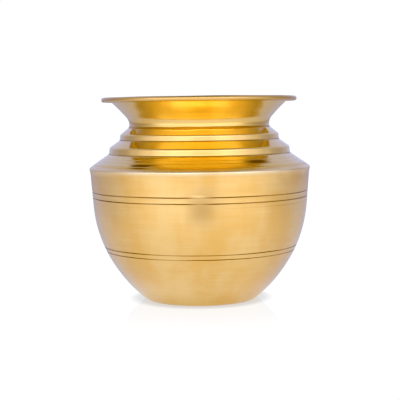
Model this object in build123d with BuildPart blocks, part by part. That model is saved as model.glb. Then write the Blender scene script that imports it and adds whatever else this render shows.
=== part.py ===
from build123d import *
from math import cos, radians, tan
import os

# Kalash pot of spun sheet brass. Millimetres, +Z up, origin at the centre of the base,
# in the plane that the pot stands on. Every piece is a body of revolution about Z.
#
# The pot is three spun shells. The collar's tail passes down through the hole in the top
# of the shoulder, and the shoulder's skirt passes down through the mouth of the bowl.
# A ring of brazing brass fills the gap around each of them, and the lip of the collar is
# rolled around a wire.

# ---- Sheet and wire ----
WALL = 0.9  # thickness of the three shells
WIRE_R = 0.4  # wire inside the rolled lip
WIRE_PLAY = 0.02  # gap between the wire and the sheet rolled around it
ROLL_SWEEP = 250  # degrees that the sheet turns around the wire

# ---- Mouth ----
HEIGHT = 109.8  # top of the lip
LIP_R = 53.0  # outer radius of the lip
LIP_ROOT_R = 49.2  # where the funnel would meet the flat underside of the lip
FUNNEL_BEND = (43.1, 103.0)  # the funnel flares a little more above this
THROAT_R = 38.1  # outer radius of the waist, the narrowest place, and of the tail below it
THROAT_Z = 97.4  # where the funnel would meet the tail
FUNNEL_ROUNDS = (3.0, 40.0, 6.0)  # under the lip, at the bend and at the waist
TAIL_FOOT_Z = 90.4

# ---- Brazed joints ----
BRAZE_GAP = 0.8  # between the tail or skirt and the edge of the hole that it passes through
WAIST_FILLET_TOP_Z = 95.1
WAIST_FILLET_TOE_R = 39.05

# ---- Shoulder ----
NECK_SLOPE = 39.8  # degrees below level, above the upper band
SKIRT_SLOPE = 34.5  # degrees below level, below the lower band
BAND_1_TOP = (43.0, 89.75)
BAND_1_FOOT = (43.25, 86.85)
BAND_2_TOP = (48.8, 82.85)
BAND_2_FOOT = (49.25, 79.35)
BAND_ROUND = 1.7  # rounding of the bands' upper corners
CREASE_ROUND = 1.2  # rounding of the creases under the bands
SKIRT_R = 57.2  # outer radius of the skirt inside the bowl's mouth
SKIRT_BEND = 1.0
SKIRT_FOOT_Z = 69.8

# ---- Bowl ----
CORNER_R = 60.1  # where the slope would meet the bowl's side
CORNER_ROUND = 2.2
LIP_OVERRUN = 1.2  # sheet inside the bowl's mouth, trimmed off by its bore
SIDE_TOP = (59.54, 69.0)  # straight upper wall
SIDE_FOOT = (58.095, 51.2)
BELLY_MID = (47.774, 20.053)  # where the belly's two arcs meet
BELLY_FOOT = (31.3, 1.05)
FOOT_R = 29.9  # the pot stands on a flat ring between these two radii
FOOT_INNER_R = 24.0
DISH_R = 21.5
DISH_RISE = 1.6  # the middle of the underside is raised by this
DISH_ROUND = 2.0

# ---- Turned lines ----
LINE_CUTTER_R = 0.32  # round-nosed tool
LINE_DEPTH = 0.18
BOWL_LINES_Z = (59.2, 56.05, 29.55, 27.1)  # heights of the two pairs
FAINT_LINE_Z = 53.7
FAINT_DEPTH = 0.06
SHOULDER_LINES_Z = (77.25, 75.75)
SHOULDER_LINE_DEPTH = 0.1

os.makedirs("parts", exist_ok=True)


def on_slope(start, degrees, radius):
    """Point of the given radius on the slope that passes through start and falls outward."""
    return (radius, start[1] - (radius - start[0]) * tan(radians(degrees)))


def cutter_centres(outline, heights, depth):
    """Centres of the round tools that cut lines of one depth into an outline."""
    centres = []
    for height in heights:
        level = Axis((0, height, 0), (1, 0, 0))
        for edge in outline:
            for point in edge.intersect(level) or []:
                centres.append((point.X + LINE_CUTTER_R - depth, point.Y))
    return centres


neck_hole_r = THROAT_R + BRAZE_GAP
mouth_hole_r = SKIRT_R + BRAZE_GAP
neck_edge = on_slope(BAND_1_TOP, NECK_SLOPE, neck_hole_r)
mouth_edge = on_slope(BAND_2_FOOT, SKIRT_SLOPE, mouth_hole_r)
skirt_edge = on_slope(BAND_2_FOOT, SKIRT_SLOPE, SKIRT_R)
bowl_corner = on_slope(BAND_2_FOOT, SKIRT_SLOPE, CORNER_R)
roll_bore = WIRE_R + WIRE_PLAY
roll_centre = (LIP_R - WALL - roll_bore, HEIGHT - WALL - roll_bore)

# ---- Neck collar: rolled lip, funnel, waist and tail ----
with BuildPart() as neck_collar:
    with BuildSketch(Plane.XZ):
        with BuildLine():
            inner = CenterArc(roll_centre, roll_bore, 90 - ROLL_SWEEP, ROLL_SWEEP)
            outer = CenterArc(roll_centre, roll_bore + WALL, 90 - ROLL_SWEEP, ROLL_SWEEP)
            Line(inner @ 0, outer @ 0)
            Line(inner @ 1, outer @ 1)
        make_face()
        with BuildLine():
            FilletPolyline(
                inner @ 1,
                (LIP_ROOT_R, HEIGHT - WALL),
                FUNNEL_BEND,
                (THROAT_R, THROAT_Z),
                (THROAT_R, TAIL_FOOT_Z),
                radius=FUNNEL_ROUNDS,
            )
            offset(amount=WALL, side=Side.RIGHT)
        make_face()
    revolve(axis=Axis.Z)

# ---- Rim wire: closed ring inside the rolled lip ----
with BuildPart() as rim_wire:
    with BuildSketch(Plane.XZ):
        with Locations(roll_centre):
            Circle(WIRE_R)
    revolve(axis=Axis.Z)

# ---- Shoulder shell: two raised bands, three slopes and the skirt ----
with BuildPart() as shoulder_shell:
    with BuildSketch(Plane.XZ):
        with BuildLine():
            steps = FilletPolyline(
                on_slope(BAND_1_TOP, NECK_SLOPE, THROAT_R - WALL),
                BAND_1_TOP,
                BAND_1_FOOT,
                BAND_2_TOP,
                BAND_2_FOOT,
                skirt_edge,
                (SKIRT_R, SKIRT_FOOT_Z),
                radius=(BAND_ROUND, CREASE_ROUND, BAND_ROUND, CREASE_ROUND, SKIRT_BEND),
            )
            offset(amount=WALL, side=Side.RIGHT)
        make_face()
        with Locations(cutter_centres(steps.edges(), SHOULDER_LINES_Z, SHOULDER_LINE_DEPTH)):
            Circle(LINE_CUTTER_R, mode=Mode.SUBTRACT)
    revolve(axis=Axis.Z)
    with Locations((0, 0, neck_edge[1])):
        Cylinder(neck_hole_r, 4 * WALL, mode=Mode.SUBTRACT)

# ---- Bowl: turned-in mouth, straight side, belly and dished base ----
with BuildPart() as bowl:
    with BuildSketch(Plane.XZ):
        with BuildLine():
            FilletPolyline(
                on_slope(BAND_2_FOOT, SKIRT_SLOPE, SKIRT_R - LIP_OVERRUN),
                bowl_corner,
                SIDE_TOP,
                radius=CORNER_ROUND,
            )
            side = Line(SIDE_TOP, SIDE_FOOT)
            belly = TangentArc(side @ 1, BELLY_MID, tangent=side % 1)
            under_belly = TangentArc(belly @ 1, BELLY_FOOT, tangent=belly % 1)
            heel = TangentArc(under_belly @ 1, (FOOT_R, 0), tangent=under_belly % 1)
            FilletPolyline(
                heel @ 1,
                (FOOT_INNER_R, 0),
                (DISH_R, DISH_RISE),
                (0, DISH_RISE),
                radius=DISH_ROUND,
            )
            offset(amount=WALL, side=Side.RIGHT)
        make_face()
        outline = (side, belly, under_belly)
        with Locations(cutter_centres(outline, BOWL_LINES_Z, LINE_DEPTH)):
            Circle(LINE_CUTTER_R, mode=Mode.SUBTRACT)
        with Locations(cutter_centres(outline, [FAINT_LINE_Z], FAINT_DEPTH)):
            Circle(LINE_CUTTER_R, mode=Mode.SUBTRACT)
    revolve(axis=Axis.Z)
    with Locations((0, 0, mouth_edge[1])):
        Cylinder(mouth_hole_r, 4 * WALL, mode=Mode.SUBTRACT)

# ---- Waist braze: fills the gap around the tail, with a fillet on the outside ----
with BuildPart() as waist_braze:
    with BuildSketch(Plane.XZ):
        with BuildLine():
            toe = on_slope(BAND_1_TOP, NECK_SLOPE, WAIST_FILLET_TOE_R)
            fillet_arc = TangentArc((THROAT_R, WAIST_FILLET_TOP_Z), toe, tangent=(0, -1))
            Polyline(
                fillet_arc @ 1,
                neck_edge,
                (neck_hole_r, neck_edge[1] - WALL),
                (THROAT_R, neck_edge[1] - WALL),
                fillet_arc @ 0,
            )
        make_face()
    revolve(axis=Axis.Z)

# ---- Shoulder braze: fills the gap around the skirt, flush with the slope outside ----
bend_length = SKIRT_BEND * tan(radians((90 - SKIRT_SLOPE) / 2))
bend_start_r = SKIRT_R - bend_length * cos(radians(SKIRT_SLOPE))

with BuildPart() as shoulder_braze:
    with BuildSketch(Plane.XZ):
        with BuildLine():
            top = Line(on_slope(BAND_2_FOOT, SKIRT_SLOPE, bend_start_r), mouth_edge)
            bend_foot = (SKIRT_R, skirt_edge[1] - bend_length)
            bend = TangentArc(top @ 0, bend_foot, tangent=top % 0)
            Polyline(
                mouth_edge,
                (mouth_hole_r, mouth_edge[1] - WALL),
                (SKIRT_R, mouth_edge[1] - WALL),
                bend @ 1,
            )
        make_face()
    revolve(axis=Axis.Z)

# ---- Labels and STEP files ----
pieces = {
    "neck_collar": neck_collar,
    "rim_wire": rim_wire,
    "shoulder_shell": shoulder_shell,
    "bowl": bowl,
    "waist_braze": waist_braze,
    "shoulder_braze": shoulder_braze,
}
for name, piece in pieces.items():
    piece.part.label = name
    export_step(piece.part, f"parts/{name}.step")
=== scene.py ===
import math

import bmesh
import bpy
import numpy as np
from mathutils import Matrix, Vector


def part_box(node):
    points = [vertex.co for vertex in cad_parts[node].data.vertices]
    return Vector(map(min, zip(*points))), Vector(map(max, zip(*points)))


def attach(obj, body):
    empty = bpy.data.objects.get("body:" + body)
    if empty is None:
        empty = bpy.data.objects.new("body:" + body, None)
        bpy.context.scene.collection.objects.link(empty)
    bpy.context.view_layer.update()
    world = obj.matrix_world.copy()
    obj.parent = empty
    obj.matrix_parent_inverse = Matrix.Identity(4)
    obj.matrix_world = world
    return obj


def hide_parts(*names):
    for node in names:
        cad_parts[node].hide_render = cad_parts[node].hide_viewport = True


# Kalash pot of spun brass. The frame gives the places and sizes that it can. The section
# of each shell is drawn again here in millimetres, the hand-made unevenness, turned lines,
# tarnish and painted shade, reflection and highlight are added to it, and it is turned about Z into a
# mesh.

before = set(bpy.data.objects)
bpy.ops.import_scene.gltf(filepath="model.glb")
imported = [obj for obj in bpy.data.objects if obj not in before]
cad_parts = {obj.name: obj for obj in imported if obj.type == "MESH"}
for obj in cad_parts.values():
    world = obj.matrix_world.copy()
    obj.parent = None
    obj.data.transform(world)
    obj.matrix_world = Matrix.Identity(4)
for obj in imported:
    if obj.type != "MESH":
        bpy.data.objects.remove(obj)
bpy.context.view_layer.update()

MM = 0.001
TURNS = 400  # points around each ring
AXIS_REACH = 0.01  # a ring no larger than this is joined into one point on the axis
ANGLES = np.arange(TURNS) * 2 * math.pi / TURNS
rng = np.random.default_rng(7)

# ---- Sizes from the frame, in millimetres ----
collar_low, collar_high = (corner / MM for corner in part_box("neck_collar"))
shoulder_low, shoulder_high = (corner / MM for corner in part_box("shoulder_shell"))
wire_low, wire_high = (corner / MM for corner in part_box("rim_wire"))

HEIGHT = collar_high.z
TAIL_FOOT_Z = collar_low.z
SKIRT_R = shoulder_high.x
SKIRT_FOOT_Z = shoulder_low.z
WIRE_R = (wire_high.z - wire_low.z) / 2
ROLL_BORE = WIRE_R + 0.02
ROLL_CENTRE = (wire_high.x - WIRE_R, wire_high.z - WIRE_R)
WALL = HEIGHT - ROLL_CENTRE[1] - ROLL_BORE

# ---- The rest of the section, as in the CAD but for the corner's rounding ----
ROLL_SWEEP = 250
LIP_ROOT_R = 49.2
FUNNEL_BEND = (43.1, 103.0)
THROAT_R = 38.1
THROAT_Z = 97.4
FUNNEL_ROUNDS = (3.0, 40.0, 6.0)

BRAZE_GAP = 0.8
WAIST_FILLET_TOP_Z = 95.1
WAIST_FILLET_TOE_R = 39.05

NECK_SLOPE = 39.8
SKIRT_SLOPE = 34.5
BAND_1_TOP = (43.0, 89.75)
BAND_1_FOOT = (43.25, 86.85)
BAND_2_TOP = (48.8, 82.85)
BAND_2_FOOT = (49.25, 79.35)
BAND_ROUND = 1.7
CREASE_ROUND = 1.2
SKIRT_BEND = 1.0

CORNER_R = 60.1
CORNER_ROUND = 1.2  # sharper than in the CAD
SIDE_TOP = (59.54, 69.0)
SIDE_FOOT = (58.095, 51.2)
BELLY_MID = (47.774, 20.053)
BELLY_FOOT = (31.3, 1.05)
FOOT_R = 29.9
FOOT_INNER_R = 24.0
DISH_R = 21.5
DISH_RISE = 1.6
DISH_ROUND = 2.0

BOWL_LINES_Z = (59.2, 56.05, 29.55, 27.1)
FAINT_LINE_Z = 53.7
SHOULDER_LINES_Z = (77.25, 75.75)


# ---- Paths in the (radius, height) plane ----
def on_slope(start, degrees, radius):
    """Point of the given radius on the slope that passes through start and falls outward."""
    return (radius, start[1] - (radius - start[0]) * math.tan(math.radians(degrees)))


def arc_points(middle, start, sweep, steps):
    """Points of an arc about middle that begins at start."""
    arm = np.array(start, float) - middle
    angles = sweep * np.arange(steps + 1) / steps
    x = arm[0] * np.cos(angles) - arm[1] * np.sin(angles)
    z = arm[0] * np.sin(angles) + arm[1] * np.cos(angles)
    return np.stack([x, z], axis=1) + middle


def turn_between(a, b):
    """Angle from one vector to another, positive to the left."""
    return math.atan2(a[0] * b[1] - a[1] * b[0], a[0] * b[0] + a[1] * b[1])


def rounded(corners, radii, steps=12):
    """Polyline through corners, with each inner corner rounded to its radius."""
    corners = [np.array(corner, float) for corner in corners]
    parts = [corners[:1]]
    for before, corner, after, radius in zip(corners, corners[1:], corners[2:], radii):
        u = (before - corner) / np.linalg.norm(before - corner)
        v = (after - corner) / np.linalg.norm(after - corner)
        half = math.acos(u @ v) / 2
        middle = corner + (u + v) / np.linalg.norm(u + v) * radius / math.sin(half)
        start = corner + u * radius / math.tan(half)
        end = corner + v * radius / math.tan(half)
        parts.append(arc_points(middle, start, turn_between(start - middle, end - middle), steps))
    parts.append(corners[-1:])
    return np.vstack(parts)


def arc_on(path, end, steps=60):
    """path carried on to end by one arc that leaves it without a corner."""
    along = path[-1] - path[-2]
    along = along / np.linalg.norm(along)
    chord = np.array(end, float) - path[-1]
    half = turn_between(along, chord)
    radius = np.linalg.norm(chord) / (2 * math.sin(half))
    middle = path[-1] + radius * np.array([-along[1], along[0]])
    return np.vstack([path, arc_points(middle, path[-1], 2 * half, steps)[1:]])


def lengths(path):
    """Distance along a path to each of its points."""
    return np.concatenate([[0], np.cumsum(np.linalg.norm(np.diff(path, axis=0), axis=1))])


def distance_to_height(path, z):
    """Distance along a falling path to the place where it passes a height."""
    s = lengths(path)
    k = np.nonzero((path[:-1, 1] >= z) & (path[1:, 1] < z))[0][0]
    part = (path[k, 1] - z) / (path[k, 1] - path[k + 1, 1])
    return s[k] + part * (s[k + 1] - s[k])


def resampled(path, spacing, fine=(), fine_spacing=0.09):
    """path with points spacing apart, and closer inside the (low, high) distances in fine."""
    s = lengths(path)
    stops = [0.0]
    while stops[-1] < s[-1]:
        here = stops[-1]
        inside = any(low - 1e-6 <= here < high for low, high in fine)
        ahead = here + (fine_spacing if inside else spacing)
        stops.append(min([ahead] + [low for low, high in fine if here < low - 1e-6 < ahead]))
    stops[-1] = s[-1]
    if stops[-1] - stops[-2] < 0.3 * spacing:
        del stops[-2]
    return np.stack([np.interp(stops, s, path[:, k]) for k in (0, 1)], axis=1)


def normals(path):
    """Unit normals on the left of a path."""
    along = np.gradient(path, axis=0)
    along /= np.linalg.norm(along, axis=1)[:, None]
    return np.stack([-along[:, 1], along[:, 0]], axis=1)


# ---- Hand-made unevenness ----
def waves(amplitude, low, high, count=6):
    """Smooth random wave around the pot with low to high cycles a turn, one value per angle."""
    total = np.zeros(TURNS)
    for _ in range(count):
        cycles = rng.integers(low, high + 1)
        total += rng.uniform(0.4, 1) * np.sin(cycles * ANGLES + rng.uniform(0, 2 * math.pi))
    return amplitude * total / abs(total).max()


def sway(path, amplitude, pitch=12.0, low=2, high=9):
    """Slow unevenness of a spun wall: waves that change every pitch along the path."""
    s = lengths(path)
    knots = np.arange(0, s[-1] + pitch, pitch)
    fields = np.array([waves(amplitude, low, high) for _ in knots])
    weights = np.clip(1 - abs(s[:, None] - knots[None, :]) / pitch, 0, 1)
    weights = weights * weights * (3 - 2 * weights)
    return weights @ fields


def turned_line(path, distance, depth, half_width, wander=0.04, fade=0.45, kept=1.0):
    """Lift and tarnish of a turned line whose place and depth vary with the angle. kept is
    what wear has left of it."""
    centre = distance + waves(wander, 2, 6)
    strength = (1 - fade * (0.5 + 0.5 * waves(1, 2, 9))) * kept
    x = (lengths(path)[:, None] - centre[None, :]) / half_width
    cut = np.where(abs(x) < 1, (1 - np.minimum(x * x, 1)) ** 2, 0) * strength
    burr = 0.18 * np.exp(-(((abs(x) - 1.25) / 0.3) ** 2)) * strength
    return depth * (burr - cut), cut


def spot(azimuth, half_width):
    """One at an azimuth and none beyond half_width degrees from it. Azimuth 0 is the front."""
    off = (np.degrees(ANGLES) + 90 - azimuth + 180) % 360 - 180
    return (1 - np.clip(abs(off) / half_width, 0, 1) ** 2) ** 2


def soft_patch(path, distance, half_length, azimuth, half_width):
    """Soft patch on a wall, one in its middle."""
    x = np.clip(abs(lengths(path) - distance) / half_length, 0, 1)
    return ((1 - x * x) ** 2)[:, None] * spot(azimuth, half_width)


def soft_band(path, distance, half_width, strength):
    """Soft band along a crease or an edge, uneven around the pot: it places tarnish in creases and the
    burnished edge with its painted highlight.
    """
    s = lengths(path)[:, None]
    amount = strength * (0.75 + waves(0.25, 3, 14))
    return np.exp(-(((s - distance) / half_width) ** 2)) * amount


# ---- Meshes ----
def lathe(name, rings, gap=None):
    """Closed loop of rings turned about Z. Each ring is (radius, height, tarnish and painted light,
    inside), and each of these is one number or one per angle. No faces are made after ring number gap."""
    count = len(rings)
    full = np.array([[np.broadcast_to(value, TURNS) for value in ring] for ring in rings])
    radius, height, tarnish_and_painted_light, inside = full.transpose(1, 0, 2)
    points = np.stack([radius * np.cos(ANGLES), radius * np.sin(ANGLES), height], axis=2)
    rows = [k for k in range(count) if k != gap]
    row, turn = np.meshgrid(rows, np.arange(TURNS), indexing="ij")
    next_row = (row + 1) % count
    next_turn = (turn + 1) % TURNS
    corners = ((row, turn), (next_row, turn), (next_row, next_turn), (row, next_turn))
    quads = np.stack([r * TURNS + t for r, t in corners], axis=2).reshape(-1, 4)
    mesh = bpy.data.meshes.new(name)
    mesh.from_pydata((points.reshape(-1, 3) * MM).tolist(), [], quads.tolist())
    for label, values in (("tarnish_and_painted_light", tarnish_and_painted_light), ("inside", inside)):
        layer = mesh.attributes.new(label, "FLOAT", "POINT")
        layer.data.foreach_set("value", values.reshape(-1).astype(np.float32))
    weld_axis(mesh, np.nonzero(radius.max(axis=1) < AXIS_REACH)[0])
    mesh.polygons.foreach_set("use_smooth", [True] * len(mesh.polygons))
    piece = bpy.data.objects.new(name, mesh)
    bpy.context.collection.objects.link(piece)
    return piece


def weld_axis(mesh, on_axis):
    """Joins the points of each ring that has shrunk onto the axis, and turns faces outward."""
    work = bmesh.new()
    work.from_mesh(mesh)
    work.verts.ensure_lookup_table()
    rings = [[work.verts[k * TURNS + turn] for turn in range(TURNS)] for k in on_axis]
    for ring in rings:
        middle = sum((point.co for point in ring), Vector()) / TURNS
        bmesh.ops.pointmerge(work, verts=ring, merge_co=middle)
    if work.calc_volume(signed=True) < 0:
        bmesh.ops.reverse_faces(work, faces=work.faces)
    work.to_mesh(mesh)
    work.free()


def edge_rings(point, normal, lift, tarnish_and_painted_light, outward):
    """Rings that round the cut edge of a sheet, from its outer side to its inner side."""
    along = np.array([normal[1], -normal[0]]) * outward
    rings = []
    for angle in np.radians((30, 90, 150)):
        drop = lift - WALL / 2 * (1 - math.cos(angle))
        reach = 0.2 * WALL * math.sin(angle)
        r = point[0] + normal[0] * drop + along[0] * reach
        z = point[1] + normal[1] * drop + along[1] * reach
        rings.append((r, z, tarnish_and_painted_light, 0.5))
    return rings


def shell(name, outer, lift, tarnish_and_painted_light, inner, inner_lift, inner_tarnish_and_shade=0.0):
    """Piece of sheet: an outer path and an inner path, drawn along the same line, WALL apart.
    The lifts move the two sides along the normal, by row and angle."""
    out_normals, in_normals = normals(outer), normals(inner)
    rings = []
    for p, n, up, dark in zip(outer, out_normals, lift, tarnish_and_painted_light):
        rings.append((p[0] + n[0] * up, p[1] + n[1] * up, dark, 0.0))
    gap = None
    if outer[-1][0] < 1e-6:
        gap = len(rings) - 1
    else:
        rings += edge_rings(outer[-1], out_normals[-1], lift[-1], tarnish_and_painted_light[-1], 1)
    for p, n, up in reversed(list(zip(inner, in_normals, inner_lift))):
        drop = up - WALL
        rings.append((p[0] + n[0] * drop, p[1] + n[1] * drop, inner_tarnish_and_shade, 1.0))
    rings += reversed(edge_rings(outer[0], out_normals[0], lift[0], tarnish_and_painted_light[0], -1))
    return lathe(name, rings, gap)


def place(piece, material, slot_name, *nodes):
    """Gives a piece its material, stands it for its CAD nodes and rides it on the pot. slot_name is not
    used.
    """
    piece.data.materials.append(material)
    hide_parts(*nodes)
    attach(piece, "root")


# ---- Node trees ----
class Tree:
    """Short calls for building a node tree."""

    def __init__(self, tree):
        self.tree = tree
        tree.nodes.clear()

    def node(self, kind, inputs=(), **settings):
        made = self.tree.nodes.new(kind)
        for key, value in settings.items():
            setattr(made, key, value)
        for key, value in dict(inputs).items():
            self.set(made.inputs[key], value)
        return made

    def set(self, socket, value):
        if isinstance(value, bpy.types.NodeSocket):
            self.tree.links.new(value, socket)
        else:
            socket.default_value = value

    def math(self, operation, a, b=0.0):
        made = self.node("ShaderNodeMath", {0: a, 1: b}, operation=operation)
        return made.outputs[0]

    def mix(self, factor, a, b, blend="MIX"):
        inputs = {0: factor, 6: a, 7: b}
        made = self.node("ShaderNodeMix", inputs, data_type="RGBA", blend_type=blend)
        return made.outputs[2]

    def ramp(self, value, low, high, to_low=0.0, to_high=1.0, shape="SMOOTHSTEP"):
        inputs = {0: value, 1: low, 2: high, 3: to_low, 4: to_high}
        made = self.node("ShaderNodeMapRange", inputs, interpolation_type=shape)
        return made.outputs[0]


def lathe_noise(t, across, around, detail=3.0, rough=0.55):
    """Noise drawn out around the pot as lathe marks are: across is marks per metre over the
    section, and around is how fast they change on the way round."""
    place_at = t.node("ShaderNodeTexCoord").outputs["Object"]
    split = t.node("ShaderNodeSeparateXYZ", {0: place_at}).outputs
    flat = t.node("ShaderNodeCombineXYZ", {0: split[0], 1: split[1]}).outputs[0]
    radius = t.node("ShaderNodeVectorMath", {0: flat}, operation="LENGTH").outputs["Value"]
    safe = t.math("MAXIMUM", radius, 1e-4)
    turn_x = t.math("MULTIPLY", t.math("DIVIDE", split[0], safe), around)
    turn_y = t.math("MULTIPLY", t.math("DIVIDE", split[1], safe), around)
    vector = {0: t.math("MULTIPLY", radius, across), 1: t.math("MULTIPLY", split[2], across), 2: turn_x}
    inputs = {
        "Vector": t.node("ShaderNodeCombineXYZ", vector).outputs[0],
        "W": turn_y,
        "Scale": 1.0,
        "Detail": detail,
        "Roughness": rough,
    }
    return t.node("ShaderNodeTexNoise", inputs, noise_dimensions="4D").outputs["Fac"]


# Colours: tarnish, which also paints the shade and dark reflection; wear, which also paints the
# highlight; and the unpolished inside.
TARNISH_AND_SHADE = (0.24, 0.075, 0.010, 1)
WEAR_AND_HIGHLIGHT = (1.0, 0.90, 0.62, 1)
UNPOLISHED = (0.62, 0.34, 0.09, 1)


def brass(name, base, warm, roughness, grain, anisotropy, coat=0.25):
    """Brass turned and buffed on a lathe, in a patchwork of two colours. grain scales the marks
    that the buffing left. The mesh says where it is tarnished or painted with shade or a dark
    reflection, where it is worn or painted with a highlight (less than nothing), and where it is on the
    inside."""
    material = bpy.data.materials.new(name)
    material.use_nodes = True
    t = Tree(material.node_tree)
    age_and_painted_light = t.node("ShaderNodeAttribute", attribute_name="tarnish_and_painted_light").outputs["Fac"]
    tarnish_and_painted_light = t.math("MAXIMUM", age_and_painted_light, 0.0)
    wear_and_highlight = t.math("MAXIMUM", t.math("MULTIPLY", age_and_painted_light, -1.0), 0.0)
    inside = t.node("ShaderNodeAttribute", attribute_name="inside").outputs["Fac"]
    fine = lathe_noise(t, across=2600, around=1.6)
    bands = lathe_noise(t, across=420, around=2.4)

    # Colour: soft patches, fine marks, and then the ways that it ages, with the painted shade, reflection
    # and highlight
    place_at = t.node("ShaderNodeTexCoord").outputs["Object"]
    blotches = t.node("ShaderNodeTexNoise", {"Vector": place_at, "Scale": 42, "Detail": 4}).outputs["Fac"]
    tall = t.node("ShaderNodeVectorMath", {0: place_at, 1: (75, 75, 14)}, operation="MULTIPLY").outputs[0]
    drips = t.node("ShaderNodeTexNoise", {"Vector": tall, "Scale": 1.0, "Detail": 3}).outputs["Fac"]
    patch = t.math("ADD", t.math("MULTIPLY", bands, 0.15), t.math("MULTIPLY", blotches, 0.5))
    patch = t.ramp(t.math("ADD", patch, t.math("MULTIPLY", drips, 0.35)), 0.40, 0.62)
    colour = t.mix(patch, base, warm)
    marks = t.ramp(fine, 0.3, 0.7, 1 - 0.06 * grain, 1.0)
    grey_marks = t.node("ShaderNodeCombineColor", {0: marks, 1: marks, 2: marks}).outputs[0]
    colour = t.mix(1.0, colour, grey_marks, "MULTIPLY")
    colour = t.mix(t.math("MULTIPLY", inside, 0.5), colour, UNPOLISHED)
    # Lighter where it is worn and where a highlight is painted; darker where it is tarnished and where
    # shade and a dark reflection are painted.
    colour = t.mix(t.math("MULTIPLY", wear_and_highlight, 0.8), colour, WEAR_AND_HIGHLIGHT)
    colour = t.mix(tarnish_and_painted_light, colour, TARNISH_AND_SHADE)

    # Gloss: uneven buffing, dull where it is tarnished or painted darker or inside, and glossy where it
    # is worn or painted lighter
    buffing = t.math("ADD", t.math("MULTIPLY", fine, 0.5), t.math("MULTIPLY", bands, 0.5))
    rough = t.math("ADD", roughness, t.ramp(buffing, 0.35, 0.65, -0.03 * grain, 0.03 * grain))
    rough = t.math("ADD", rough, t.math("MULTIPLY", tarnish_and_painted_light, 0.35))
    rough = t.math("ADD", rough, t.math("MULTIPLY", inside, 0.12))
    rough = t.math("SUBTRACT", rough, t.math("MULTIPLY", wear_and_highlight, 0.12))
    clear = t.math("MULTIPLY", t.math("SUBTRACT", 1.0, t.math("MULTIPLY", tarnish_and_painted_light, 0.8)), coat)

    # Relief of the lathe marks, in metres
    lines = {"Strength": 0.10 * grain, "Distance": 0.00004, "Height": fine}
    swell = {"Strength": 0.06 * grain, "Distance": 0.0002, "Height": bands}
    swell["Normal"] = t.node("ShaderNodeBump", lines).outputs[0]
    inputs = {
        "Base Color": colour,
        "Metallic": 1.0,
        "Roughness": rough,
        "Normal": t.node("ShaderNodeBump", swell).outputs[0],
        "Anisotropic": anisotropy,
        "Anisotropic Rotation": 0.25,
        "Tangent": t.node("ShaderNodeTangent", direction_type="RADIAL", axis="Z").outputs[0],
        "Coat Weight": clear,
        "Coat Roughness": 0.12,
        "Coat IOR": 1.5,
    }
    shader = t.node("ShaderNodeBsdfPrincipled", inputs)
    t.node("ShaderNodeOutputMaterial", {"Surface": shader.outputs[0]})
    return material


# ---- Materials ----
bright = brass("bright_brass", (0.935, 0.625, 0.185, 1), (0.915, 0.575, 0.14, 1), 0.14, 0.6, 0.5, 1.0)
satin = brass("satin_brass", (0.94, 0.63, 0.21, 1), (0.885, 0.525, 0.125, 1), 0.33, 0.6, 0.8, 1.0)
braze = brass("braze_brass", (0.92, 0.60, 0.16, 1), (0.88, 0.52, 0.12, 1), 0.18, 0.7, 0.2)
drawn = brass("wire_brass", (0.82, 0.55, 0.15, 1), (0.76, 0.46, 0.10, 1), 0.28, 0.4, 0.2)

# ---- Neck collar ----
HEM_DEPTH = 1.2  # the sheet is this much thicker under the lip, which closes the pocket there
HEM_RISE = 0.9  # distance past the roll in which it thickens
HEM_END = 4.8  # and in which it is thin again
LIP_CREASE_Z = 107.4  # dirt gathers here, under the lip
COLLAR_SIDE_SHADE = 0.14  # painted shade on the outside, darker away from the front
LIP_SIDE_SHADE = 0.30  # painted shade on the lip and the inside, darker away from the front

roll_start = np.array(ROLL_CENTRE) + ROLL_BORE * np.array(
    [math.cos(math.radians(90 - ROLL_SWEEP)), math.sin(math.radians(90 - ROLL_SWEEP))]
)
roll = arc_points(np.array(ROLL_CENTRE), roll_start, math.radians(ROLL_SWEEP), 40)
funnel = rounded(
    (roll[-1], (LIP_ROOT_R, HEIGHT - WALL), FUNNEL_BEND, (THROAT_R, THROAT_Z), (THROAT_R, TAIL_FOOT_Z)),
    FUNNEL_ROUNDS,
)
collar_line = np.vstack([roll, funnel[1:]])
collar_roll = (0, lengths(roll)[-1] + 0.5)
collar_path = resampled(collar_line, 0.42, [collar_roll], 0.07)
collar_sway = sway(collar_path, 0.07)
past_roll = lengths(collar_path) - lengths(roll)[-1]
hem = np.clip(past_roll / HEM_RISE, 0, 1) * np.clip((HEM_END - past_roll) / (HEM_END - HEM_RISE), 0, 1)
hem = HEM_DEPTH * hem * hem * (3 - 2 * hem)
collar_tarnish_and_shade = soft_band(collar_path, distance_to_height(collar_line, LIP_CREASE_Z), 0.5, 0.6)
# Painted shade: the outside of the collar is darker away from the front.
collar_tarnish_and_shade += COLLAR_SIDE_SHADE * (1 - spot(5, 60))
neck_collar = shell(
    "neck_collar_sheet",
    collar_path,
    collar_sway + hem[:, None],
    collar_tarnish_and_shade,
    collar_path,
    collar_sway,
    # Painted shade: the lip and the inside are darker away from the front.
    LIP_SIDE_SHADE * (1 - spot(-10, 75)),
)
place(neck_collar, bright, "bright_brass", "neck_collar")

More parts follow.
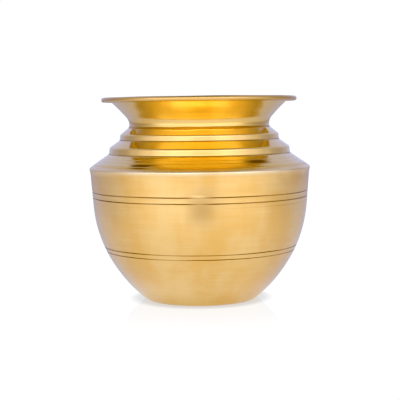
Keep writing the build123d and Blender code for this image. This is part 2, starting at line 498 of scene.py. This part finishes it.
# ---- Shoulder shell ----
# Dark patches on the slope, to the left and right of the front.
SHOULDER_DARK_PATCHES = (
    # height, half length down the slope, azimuth, half width in degrees, strength
    (74.8, 1.5, -32.5, 9, 1.8),
    (75.2, 0.6, -25, 5, 0.8),
    (78.3, 0.8, -26, 16, 0.6),
    (76.3, 2.6, 33, 11, 1.3),
)
neck_edge = on_slope(BAND_1_TOP, NECK_SLOPE, THROAT_R + BRAZE_GAP)
skirt_edge = on_slope(BAND_2_FOOT, SKIRT_SLOPE, SKIRT_R)
shoulder_line = rounded(
    (neck_edge, BAND_1_TOP, BAND_1_FOOT, BAND_2_TOP, BAND_2_FOOT, skirt_edge, (SKIRT_R, SKIRT_FOOT_Z)),
    (BAND_ROUND, CREASE_ROUND, BAND_ROUND, CREASE_ROUND, SKIRT_BEND),
)
shoulder_path = resampled(shoulder_line, 0.17)
shoulder_lift = sway(shoulder_path, 0.12) + sway(shoulder_path, 0.05, 6.0, 12, 34)
shoulder_darkening = np.zeros_like(shoulder_lift)
for z in SHOULDER_LINES_Z:
    place_on = distance_to_height(shoulder_line, z)
    rise, dark = turned_line(shoulder_path, place_on, depth=0.06, half_width=0.28)
    shoulder_lift += rise
    shoulder_darkening += 0.25 * dark
for crease in (BAND_1_FOOT, BAND_2_FOOT):
    place_on = distance_to_height(shoulder_line, crease[1])
    shoulder_darkening += soft_band(shoulder_path, place_on, half_width=0.34, strength=1.0)
# Dark patches on the slope, left and right of the front.
for height, half_length, azimuth, half_width, amount in SHOULDER_DARK_PATCHES:
    place_on = distance_to_height(shoulder_line, height)
    shoulder_darkening += amount * soft_patch(shoulder_path, place_on, half_length, azimuth, half_width)
shoulder_inner = resampled(shoulder_line, 0.45)
shoulder_shell = shell(
    "shoulder_sheet",
    shoulder_path,
    shoulder_lift,
    np.clip(shoulder_darkening, 0, 1),
    shoulder_inner,
    np.zeros((len(shoulder_inner), TURNS)),
)
place(shoulder_shell, bright, "bright_brass", "shoulder_shell")

# ---- Bowl ----
FINE_MARGIN = 0.75  # the mesh is fine this far on each side of a turned line
FRONT_WEAR = 0.8  # part of the upper pair of lines that is worn away at the front
ARRIS_DROP = 0.4  # the burnished edge, with its painted highlight, is centred this far under the corner
# The first three patches are a painted dark reflection on the front of the belly; the last, of less than
# no strength, is a light worn smear.
BOWL_REFLECTION_AND_WEAR = (
    # height, half length down the side, azimuth, half width in degrees, strength
    (56.0, 16.0, 2, 13, 0.16),
    (52.0, 11.0, 0, 10, 0.22),
    (62.0, 5.0, 3, 9, 0.07),
    (59.9, 0.7, -1, 5, -0.5),
)
mouth_edge = on_slope(BAND_2_FOOT, SKIRT_SLOPE, SKIRT_R + BRAZE_GAP)
bowl_corner = on_slope(BAND_2_FOOT, SKIRT_SLOPE, CORNER_R)
bowl_side = np.vstack([rounded((mouth_edge, bowl_corner, SIDE_TOP), (CORNER_ROUND,)), [SIDE_FOOT]])
belly = arc_on(arc_on(bowl_side, BELLY_MID), BELLY_FOOT)
foot = rounded(
    ((FOOT_R, 0), (FOOT_INNER_R, 0), (DISH_R, DISH_RISE), (0, DISH_RISE)), (DISH_ROUND, DISH_ROUND)
)
bowl_line = np.vstack([arc_on(belly, (FOOT_R, 0), 10), foot[1:]])
line_places = {z: distance_to_height(belly, z) for z in (*BOWL_LINES_Z, FAINT_LINE_Z)}
fine_parts = [(line_at - FINE_MARGIN, line_at + FINE_MARGIN) for line_at in sorted(line_places.values())]
fine_parts.insert(0, (0.2, 5.0))
bowl_path = resampled(bowl_line, 0.95, fine_parts, 0.1)
bowl_lift = sway(bowl_path, 0.10) + sway(bowl_path, 0.03, 6.0, 14, 40)
bowl_tarnish_and_painted_light = np.zeros_like(bowl_lift)
for z in BOWL_LINES_Z:
    kept = 1 - FRONT_WEAR * spot(0, 9) if z in BOWL_LINES_Z[:2] else 1.0
    rise, dark = turned_line(bowl_path, line_places[z], depth=0.22, half_width=0.42, fade=0.55, kept=kept)
    bowl_lift += rise
    bowl_tarnish_and_painted_light += 1.3 * dark
faint_at = line_places[FAINT_LINE_Z]
rise, dark = turned_line(bowl_path, faint_at, depth=0.05, half_width=0.4, kept=spot(45, 40))
bowl_lift += rise
bowl_tarnish_and_painted_light += 0.3 * dark
# Burnished band under the corner, lighter and glossier: partly real wear, partly a painted highlight,
# strongest at the front.
arris_at = distance_to_height(belly, bowl_corner[1] - ARRIS_DROP)
burnish_and_highlight = soft_band(bowl_path, arris_at, half_width=1.2, strength=1.0)
bowl_tarnish_and_painted_light -= burnish_and_highlight * (0.3 + 0.7 * spot(0, 85))
# Painted dark reflection on the front of the belly, and one light worn smear.
for height, half_length, azimuth, half_width, amount in BOWL_REFLECTION_AND_WEAR:
    place_on = distance_to_height(belly, height)
    bowl_tarnish_and_painted_light += amount * soft_patch(bowl_path, place_on, half_length, azimuth, half_width)
bowl_lift *= np.clip(bowl_path[:, 1:] / 3, 0, 1)
bowl_inner = resampled(bowl_line, 1.0)
bowl = shell(
    "bowl_sheet",
    bowl_path,
    bowl_lift,
    np.clip(bowl_tarnish_and_painted_light, -1, 1),
    bowl_inner,
    np.zeros((len(bowl_inner), TURNS)),
)
place(bowl, satin, "satin_brass", "bowl")

# ---- Braze rings ----
TUCK = 0.05  # the waist ring's edges are this deep in the sheets
SEAM_TUCK = 0.06  # and the shoulder ring's edges are this deep
SEAM_CROWN = 0.08  # the shoulder ring is pulled this much above the slope
WAIST_WANDER = 0.2  # the edges of the rings wander by this much
SEAM_WANDER = 0.22
slope_normal = np.array([math.sin(math.radians(SKIRT_SLOPE)), math.cos(math.radians(SKIRT_SLOPE))])


def braze_ring(name, top, middle, foot, back, tarnish_and_painted_light):
    """Ring whose outer face curves from top to foot, pulled towards middle."""
    rings = []
    for t in np.linspace(0, 1, 12):
        parts = ((1 - t) ** 2, 2 * t * (1 - t), t * t)
        r = sum(p * point[0] for p, point in zip(parts, (top, middle, foot)))
        z = sum(p * point[1] for p, point in zip(parts, (top, middle, foot)))
        rings.append((r, z, tarnish_and_painted_light, 0.0))
    rings += [(r, z, tarnish_and_painted_light, 0.5) for r, z in back]
    return lathe(name, rings)


def lowered(point, drop):
    """point moved straight down."""
    return (point[0], point[1] - drop)


waist_top = (THROAT_R - TUCK, WAIST_FILLET_TOP_Z - 0.75 + waves(WAIST_WANDER, 4, 18))
waist_corner = on_slope(BAND_1_TOP, NECK_SLOPE, THROAT_R)
waist_toe_r = WAIST_FILLET_TOE_R - 0.15 + waves(WAIST_WANDER, 4, 18)
waist_toe = lowered(on_slope(BAND_1_TOP, NECK_SLOPE, waist_toe_r), TUCK)
waist_foot_z = neck_edge[1] - WALL
waist_back = [(THROAT_R + BRAZE_GAP - 0.1, waist_foot_z), (THROAT_R - TUCK, waist_foot_z)]
waist_braze = braze_ring("waist_braze_ring", waist_top, waist_corner, waist_toe, waist_back, 0.45)
place(waist_braze, braze, "braze_brass", "waist_braze")

seam_in_r = SKIRT_R - 0.75 + waves(SEAM_WANDER, 5, 24)
seam_out_r = SKIRT_R + BRAZE_GAP + 0.15 + waves(SEAM_WANDER, 5, 24)
seam_in = lowered(on_slope(BAND_2_FOOT, SKIRT_SLOPE, seam_in_r), SEAM_TUCK)
seam_out = lowered(on_slope(BAND_2_FOOT, SKIRT_SLOPE, seam_out_r), SEAM_TUCK)
crest = on_slope(BAND_2_FOOT, SKIRT_SLOPE, (seam_in_r + seam_out_r) / 2)
seam_mid = (crest[0] + SEAM_CROWN * slope_normal[0], crest[1] + SEAM_CROWN * slope_normal[1])
seam_foot_z = mouth_edge[1] - WALL
seam_back = [(SKIRT_R + BRAZE_GAP - 0.1, seam_foot_z), (SKIRT_R, seam_foot_z)]
seam_dark_patch = 0.9 * spot(-32.5, 9)  # the lower left dark patch on the shoulder runs on over the seam
shoulder_braze = braze_ring("shoulder_braze_ring", seam_in, seam_mid, seam_out, seam_back, seam_dark_patch)
place(shoulder_braze, braze, "braze_brass", "shoulder_braze")

# ---- Rim wire: the CAD piece, with its own brass ----
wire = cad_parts["rim_wire"]
wire.data.materials.clear()
wire.data.materials.append(drawn)

# ---- Light: a soft sky, lobes and a strip in it, and a floor that glows ----
# Azimuth 0 is in front of the pot, towards the camera, and 90 is on the camera's right.
LOBES = (
    # azimuth, elevation, inner and outer half angle, brightness, colour
    (0, 28, 4, 16, 0.2, (1.0, 1.0, 1.0)),
    (3, 2, 4, 17, -0.14, (1.0, 1.0, 1.0)),
    (-24, 20, 5, 24, 0.22, (1.0, 1.0, 1.0)),
    (32, 8, 4, 20, 0.2, (1.0, 1.0, 1.0)),
    (180, 45, 30, 75, 0.22, (0.8, 1.0, 1.35)),
    (180, 10, 8, 12, 0.4, (1.0, 1.0, 0.8)),
)
HORIZON = (0.38, 0.37, 0.54)
ZENITH = (0.12, 0.09, 0.10)
KEY = 0.80  # wide soft light in front and at the sides, low in the sky
STRIP = 1.0  # long low light in front
STRIP_ELEVATIONS = (14, 17.5, 22, 30)  # where it starts, is full, is still full and ends
BACKDROP = 1.02  # what the camera sees behind the pot
FLOOR_WHITE = 1.02  # what the camera sees of the floor
FLOOR_MIRROR = 0.13  # and how much the floor mirrors beside the base
CONTACT_SHADE = (0.72, 0.70, 0.68, 1)
# What the floor sheds on the pot
FLOOR_AHEAD = (0.99, 0.97, 1.03, 1)
FLOOR_FAR_AHEAD = (1.5, 1.5, 1.5, 1)
FLOOR_BEHIND = (0.46, 0.46, 0.58, 1)
FLOOR_HORIZON = (0.42, 0.38, 0.42, 1)
FLOOR_CONTACT = (0.72, 0.64, 0.50, 1)
BLACK = (0, 0, 0, 1)


def ahead_of(t, vector):
    """Level length of a vector, and the cosine of its azimuth: 1 in front and -1 behind."""
    split = t.node("ShaderNodeSeparateXYZ", {0: vector}).outputs
    level = t.node("ShaderNodeCombineXYZ", {0: split[0], 1: split[1]}).outputs[0]
    reach = t.node("ShaderNodeVectorMath", {0: level}, operation="LENGTH").outputs["Value"]
    return reach, t.math("DIVIDE", t.math("MULTIPLY", split[1], -1.0), t.math("MAXIMUM", reach, 1e-4))


def floor_seen(t, distance):
    """White, with a soft shade where the pot stands and a faint mirror beside it."""
    open_to_sky = t.node("ShaderNodeAmbientOcclusion", {"Distance": 0.008}, samples=16).outputs["AO"]
    shade = t.mix(t.ramp(open_to_sky, 0.2, 0.85), CONTACT_SHADE, (1.0, 1.0, 1.0, 1))
    own = t.node("ShaderNodeEmission", {0: shade, 1: FLOOR_WHITE})
    mirror = t.node("ShaderNodeBsdfGlossy", {"Color": (1, 1, 1, 1), "Roughness": 0.06})
    away = t.ramp(distance, 0.035, 0.11, FLOOR_MIRROR, 0.0)
    return t.node("ShaderNodeMixShader", {0: away, 1: own.outputs[0], 2: mirror.outputs[0]})


def floor_glow(t, distance, ahead):
    """Light that the floor sheds on the pot: bright in front, dim behind and under the pot."""
    glow = t.mix(t.ramp(ahead, -1.05, 0.75, shape="LINEAR"), FLOOR_BEHIND, FLOOR_AHEAD)
    far_off = t.math("MULTIPLY", t.ramp(distance, 0.40, 0.75), t.ramp(ahead, -0.3, 0.5, 1.0, 0.0))
    glow = t.mix(far_off, glow, FLOOR_HORIZON)
    far_ahead = t.math("MULTIPLY", t.ramp(distance, 0.38, 0.56), t.ramp(ahead, 0.1, 0.6))
    glow = t.mix(far_ahead, glow, FLOOR_FAR_AHEAD)
    glow = t.mix(t.ramp(distance, 0.05, 0.14, 0.12, 0.0), glow, BLACK)
    glow = t.mix(t.ramp(distance, 0.030, 0.041), FLOOR_CONTACT, glow)
    return t.node("ShaderNodeEmission", {0: glow, 1: 1.0})


def floor():
    """White table that the pot stands on and is lit by."""
    mesh = bpy.data.meshes.new("floor")
    work = bmesh.new()
    bmesh.ops.create_circle(work, cap_ends=True, segments=96, radius=2.5)
    work.to_mesh(mesh)
    work.free()
    table = bpy.data.objects.new("floor", mesh)
    bpy.context.collection.objects.link(table)
    material = bpy.data.materials.new("white_table")
    material.use_nodes = True
    t = Tree(material.node_tree)
    distance, ahead = ahead_of(t, t.node("ShaderNodeTexCoord").outputs["Object"])
    seen = floor_seen(t, distance)
    glow = floor_glow(t, distance, ahead)
    camera_ray = t.node("ShaderNodeLightPath").outputs["Is Camera Ray"]
    both = t.node("ShaderNodeMixShader", {0: camera_ray, 1: glow.outputs[0], 2: seen.outputs[0]})
    t.node("ShaderNodeOutputMaterial", {"Surface": both.outputs[0]})
    mesh.materials.append(material)


def direction(azimuth, elevation):
    """Unit vector towards an azimuth and an elevation in degrees."""
    a, e = math.radians(azimuth), math.radians(elevation)
    return (math.sin(a) * math.cos(e), -math.cos(a) * math.cos(e), math.sin(e))


def sine(degrees):
    return math.sin(math.radians(degrees))


def cosine(degrees):
    return math.cos(math.radians(degrees))


def studio():
    """World lit by the sky, the key, the strip and the lobes, and plain white to the camera."""
    world = bpy.data.worlds.new("studio")
    bpy.context.scene.world = world
    world.use_nodes = True
    t = Tree(world.node_tree)
    look = t.node("ShaderNodeTexCoord").outputs["Generated"]
    up = t.node("ShaderNodeSeparateXYZ", {0: look}).outputs[2]
    ahead = ahead_of(t, look)[1]
    total = t.mix(t.ramp(up, 0.80, 0.97), (*HORIZON, 1), (*ZENITH, 1))
    sides = t.ramp(ahead, cosine(128), cosine(33))
    key = t.math("MULTIPLY", sides, t.ramp(up, 0.36, 0.76, 1.0, 0.0))
    total = t.mix(key, total, (KEY, KEY, KEY, 1), "ADD")
    start, full, still_full, end = (sine(elevation) for elevation in STRIP_ELEVATIONS)
    height = t.math("MULTIPLY", t.ramp(up, start, full), t.ramp(up, still_full, end, 1.0, 0.0))
    strip = t.math("MULTIPLY", height, t.ramp(ahead, cosine(75), cosine(45)))
    total = t.mix(strip, total, (STRIP, STRIP, STRIP, 1), "ADD")
    for azimuth, elevation, inner, outer, bright_by, colour in LOBES:
        towards = direction(azimuth, elevation)
        facing = t.node("ShaderNodeVectorMath", {0: look, 1: towards}, operation="DOT_PRODUCT")
        lobe = t.ramp(facing.outputs["Value"], cosine(outer), cosine(inner))
        lit = tuple(c * bright_by for c in colour) + (1,)
        total = t.mix(lobe, total, lit, "ADD")
    light = t.node("ShaderNodeBackground", {0: total, 1: 1.0})
    plain = t.node("ShaderNodeBackground", {0: (1, 1, 1, 1), 1: BACKDROP})
    camera_ray = t.node("ShaderNodeLightPath").outputs["Is Camera Ray"]
    both = t.node("ShaderNodeMixShader", {0: camera_ray, 1: light.outputs[0], 2: plain.outputs[0]})
    t.node("ShaderNodeOutputWorld", {"Surface": both.outputs[0]})


def film():
    """Plain view, with the faintest blues held back as warm film holds them."""
    view = bpy.context.scene.view_settings
    view.view_transform = "Standard"
    view.use_curve_mapping = True
    blue = view.curve_mapping.curves[2]
    for x, y in ((0.05, 0.012), (0.11, 0.085), (0.22, 0.22), (0.6, 0.6)):
        blue.points.new(x, y)
    view.curve_mapping.update()


# ---- Camera ----
CAMERA_AT = (0, -589.6, 102.0)
CAMERA_AIM = (-0.05, 0, 53.45)
CAMERA_ROLL = math.radians(-0.7)
SENSOR_WIDTH = 36
LENS = 97.1


def camera():
    """Camera at the photograph's angle: low, nearly level with the mouth, and a little rolled."""
    data = bpy.data.cameras.new("camera")
    data.sensor_width = SENSOR_WIDTH
    data.lens = LENS
    data.clip_start = 0.01
    eye = bpy.data.objects.new("camera", data)
    bpy.context.collection.objects.link(eye)
    stand = Vector(CAMERA_AT) * MM
    turn = (Vector(CAMERA_AIM) * MM - stand).to_track_quat("-Z", "Y").to_matrix().to_4x4()
    eye.matrix_world = Matrix.Translation(stand) @ turn @ Matrix.Rotation(CAMERA_ROLL, 4, "Z")
    bpy.context.scene.camera = eye


floor()
studio()
camera()
film()
